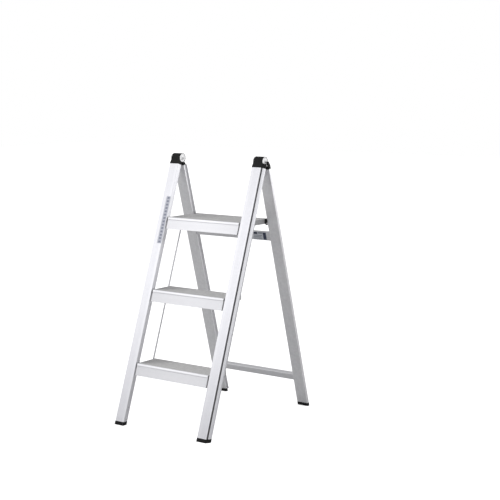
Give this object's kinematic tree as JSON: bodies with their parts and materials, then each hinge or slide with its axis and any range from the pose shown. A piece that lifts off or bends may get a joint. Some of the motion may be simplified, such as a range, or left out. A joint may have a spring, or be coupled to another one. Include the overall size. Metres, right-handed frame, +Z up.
{
  "type": "step stool",
  "caption": "Slim folding aluminium step stool with three treads, black plastic hinge caps and feet, and a rear frame with two crossbars.",
  "frame": {"origin": "on the floor, in the middle of the footprint of the open stool", "axes": "+Z up; +Y toward the rear legs, so a person climbs facing +Y; +X to that person's right"},
  "size_m": [0.42, 0.6078, 0.9271],
  "materials": {
    "satin_aluminium": "satin anodised",
    "ribbed_tread": "fine ribbed",
    "bright_disc": "bright",
    "zinc_steel": "zinc plated",
    "black_plastic": "moulded",
    "black_rubber": "matte"
  },
  "bodies": {
    "front_frame": {"front_rail_left": "satin_aluminium", "front_rail_right": "satin_aluminium", "front_hinge_cap_left": "black_plastic", "front_hinge_cap_right": "black_plastic", "hinge_pin_left": "zinc_steel", "hinge_pin_right": "zinc_steel", "hinge_disc_inner_left": "bright_disc", "hinge_disc_outer_left": "bright_disc", "hinge_disc_inner_right": "bright_disc", "hinge_disc_outer_right": "bright_disc", "front_foot_left": "black_rubber", "front_foot_right": "black_rubber", "front_foot_rivet_lower_left": "zinc_steel", "front_foot_rivet_upper_left": "zinc_steel", "front_foot_rivet_lower_right": "zinc_steel", "front_foot_rivet_upper_right": "zinc_steel", "bottom_pivot_pin_left": "zinc_steel", "bottom_pivot_pin_right": "zinc_steel", "middle_pivot_pin_left": "zinc_steel", "middle_pivot_pin_right": "zinc_steel", "top_pivot_pin_left": "zinc_steel", "top_pivot_pin_right": "zinc_steel"},
    "rear_frame": {"rear_rail_left": "satin_aluminium", "rear_rail_right": "satin_aluminium", "rear_hinge_cap_left": "black_plastic", "rear_hinge_cap_right": "black_plastic", "upper_crossbar": "satin_aluminium", "lower_crossbar": "satin_aluminium", "catch_peg_left": "zinc_steel", "catch_peg_right": "zinc_steel", "rear_foot_left": "black_rubber", "rear_foot_right": "black_rubber", "rear_foot_rivet_lower_left": "zinc_steel", "rear_foot_rivet_upper_left": "zinc_steel", "rear_foot_rivet_lower_right": "zinc_steel", "rear_foot_rivet_upper_right": "zinc_steel"},
    "bottom_step": {"bottom_tread": "ribbed_tread", "bottom_end_cap_left": "black_plastic", "bottom_end_cap_right": "black_plastic", "bottom_link_pin_left": "zinc_steel", "bottom_link_pin_right": "zinc_steel"},
    "middle_step": {"middle_tread": "ribbed_tread", "middle_end_cap_left": "black_plastic", "middle_end_cap_right": "black_plastic", "middle_link_pin_left": "zinc_steel", "middle_link_pin_right": "zinc_steel"},
    "top_step": {"top_tread": "ribbed_tread", "top_end_cap_left": "black_plastic", "top_end_cap_right": "black_plastic", "top_link_pin_left": "zinc_steel", "top_link_pin_right": "zinc_steel"},
    "link_left": {"link_bar_left": "satin_aluminium"},
    "link_right": {"link_bar_right": "satin_aluminium"}
  },
  "joints": [
    {"name": "rear_fold", "type": "hinge", "parent": "front_frame", "child": "rear_frame", "pos_m": [0, 0.03463, 0.911], "axis": [-1, 0, 0], "range_deg": [0, 35]},
    {"name": "bottom_step_fold", "type": "hinge", "parent": "front_frame", "child": "bottom_step", "pos_m": [0, -0.22357, 0.19984], "axis": [1, 0, 0], "range_deg": [0, 70.51]},
    {"name": "middle_step_fold", "type": "hinge", "parent": "front_frame", "child": "middle_step", "pos_m": [0, -0.13557, 0.44834], "axis": [1, 0, 0], "range_deg": [0, 70.51]},
    {"name": "top_step_fold", "type": "hinge", "parent": "front_frame", "child": "top_step", "pos_m": [0, -0.04757, 0.69684], "axis": [1, 0, 0], "range_deg": [0, 70.51]},
    {"name": "link_left_turn", "type": "hinge", "parent": "top_step", "child": "link_left", "pos_m": [-0.1591, 0.03043, 0.69034], "axis": [-1, 0, 0], "range_deg": [0, 70.51]},
    {"name": "link_right_turn", "type": "hinge", "parent": "top_step", "child": "link_right", "pos_m": [0.1591, 0.03043, 0.69034], "axis": [-1, 0, 0], "range_deg": [0, 70.51]}
  ],
  "couplings": [
    {"joint": "bottom_step_fold", "follows": "rear_fold", "ratio": 2.0143},
    {"joint": "middle_step_fold", "follows": "rear_fold", "ratio": 2.0143},
    {"joint": "top_step_fold", "follows": "rear_fold", "ratio": 2.0143},
    {"joint": "link_left_turn", "follows": "rear_fold", "ratio": 2.0143},
    {"joint": "link_right_turn", "follows": "rear_fold", "ratio": 2.0143}
  ]
}
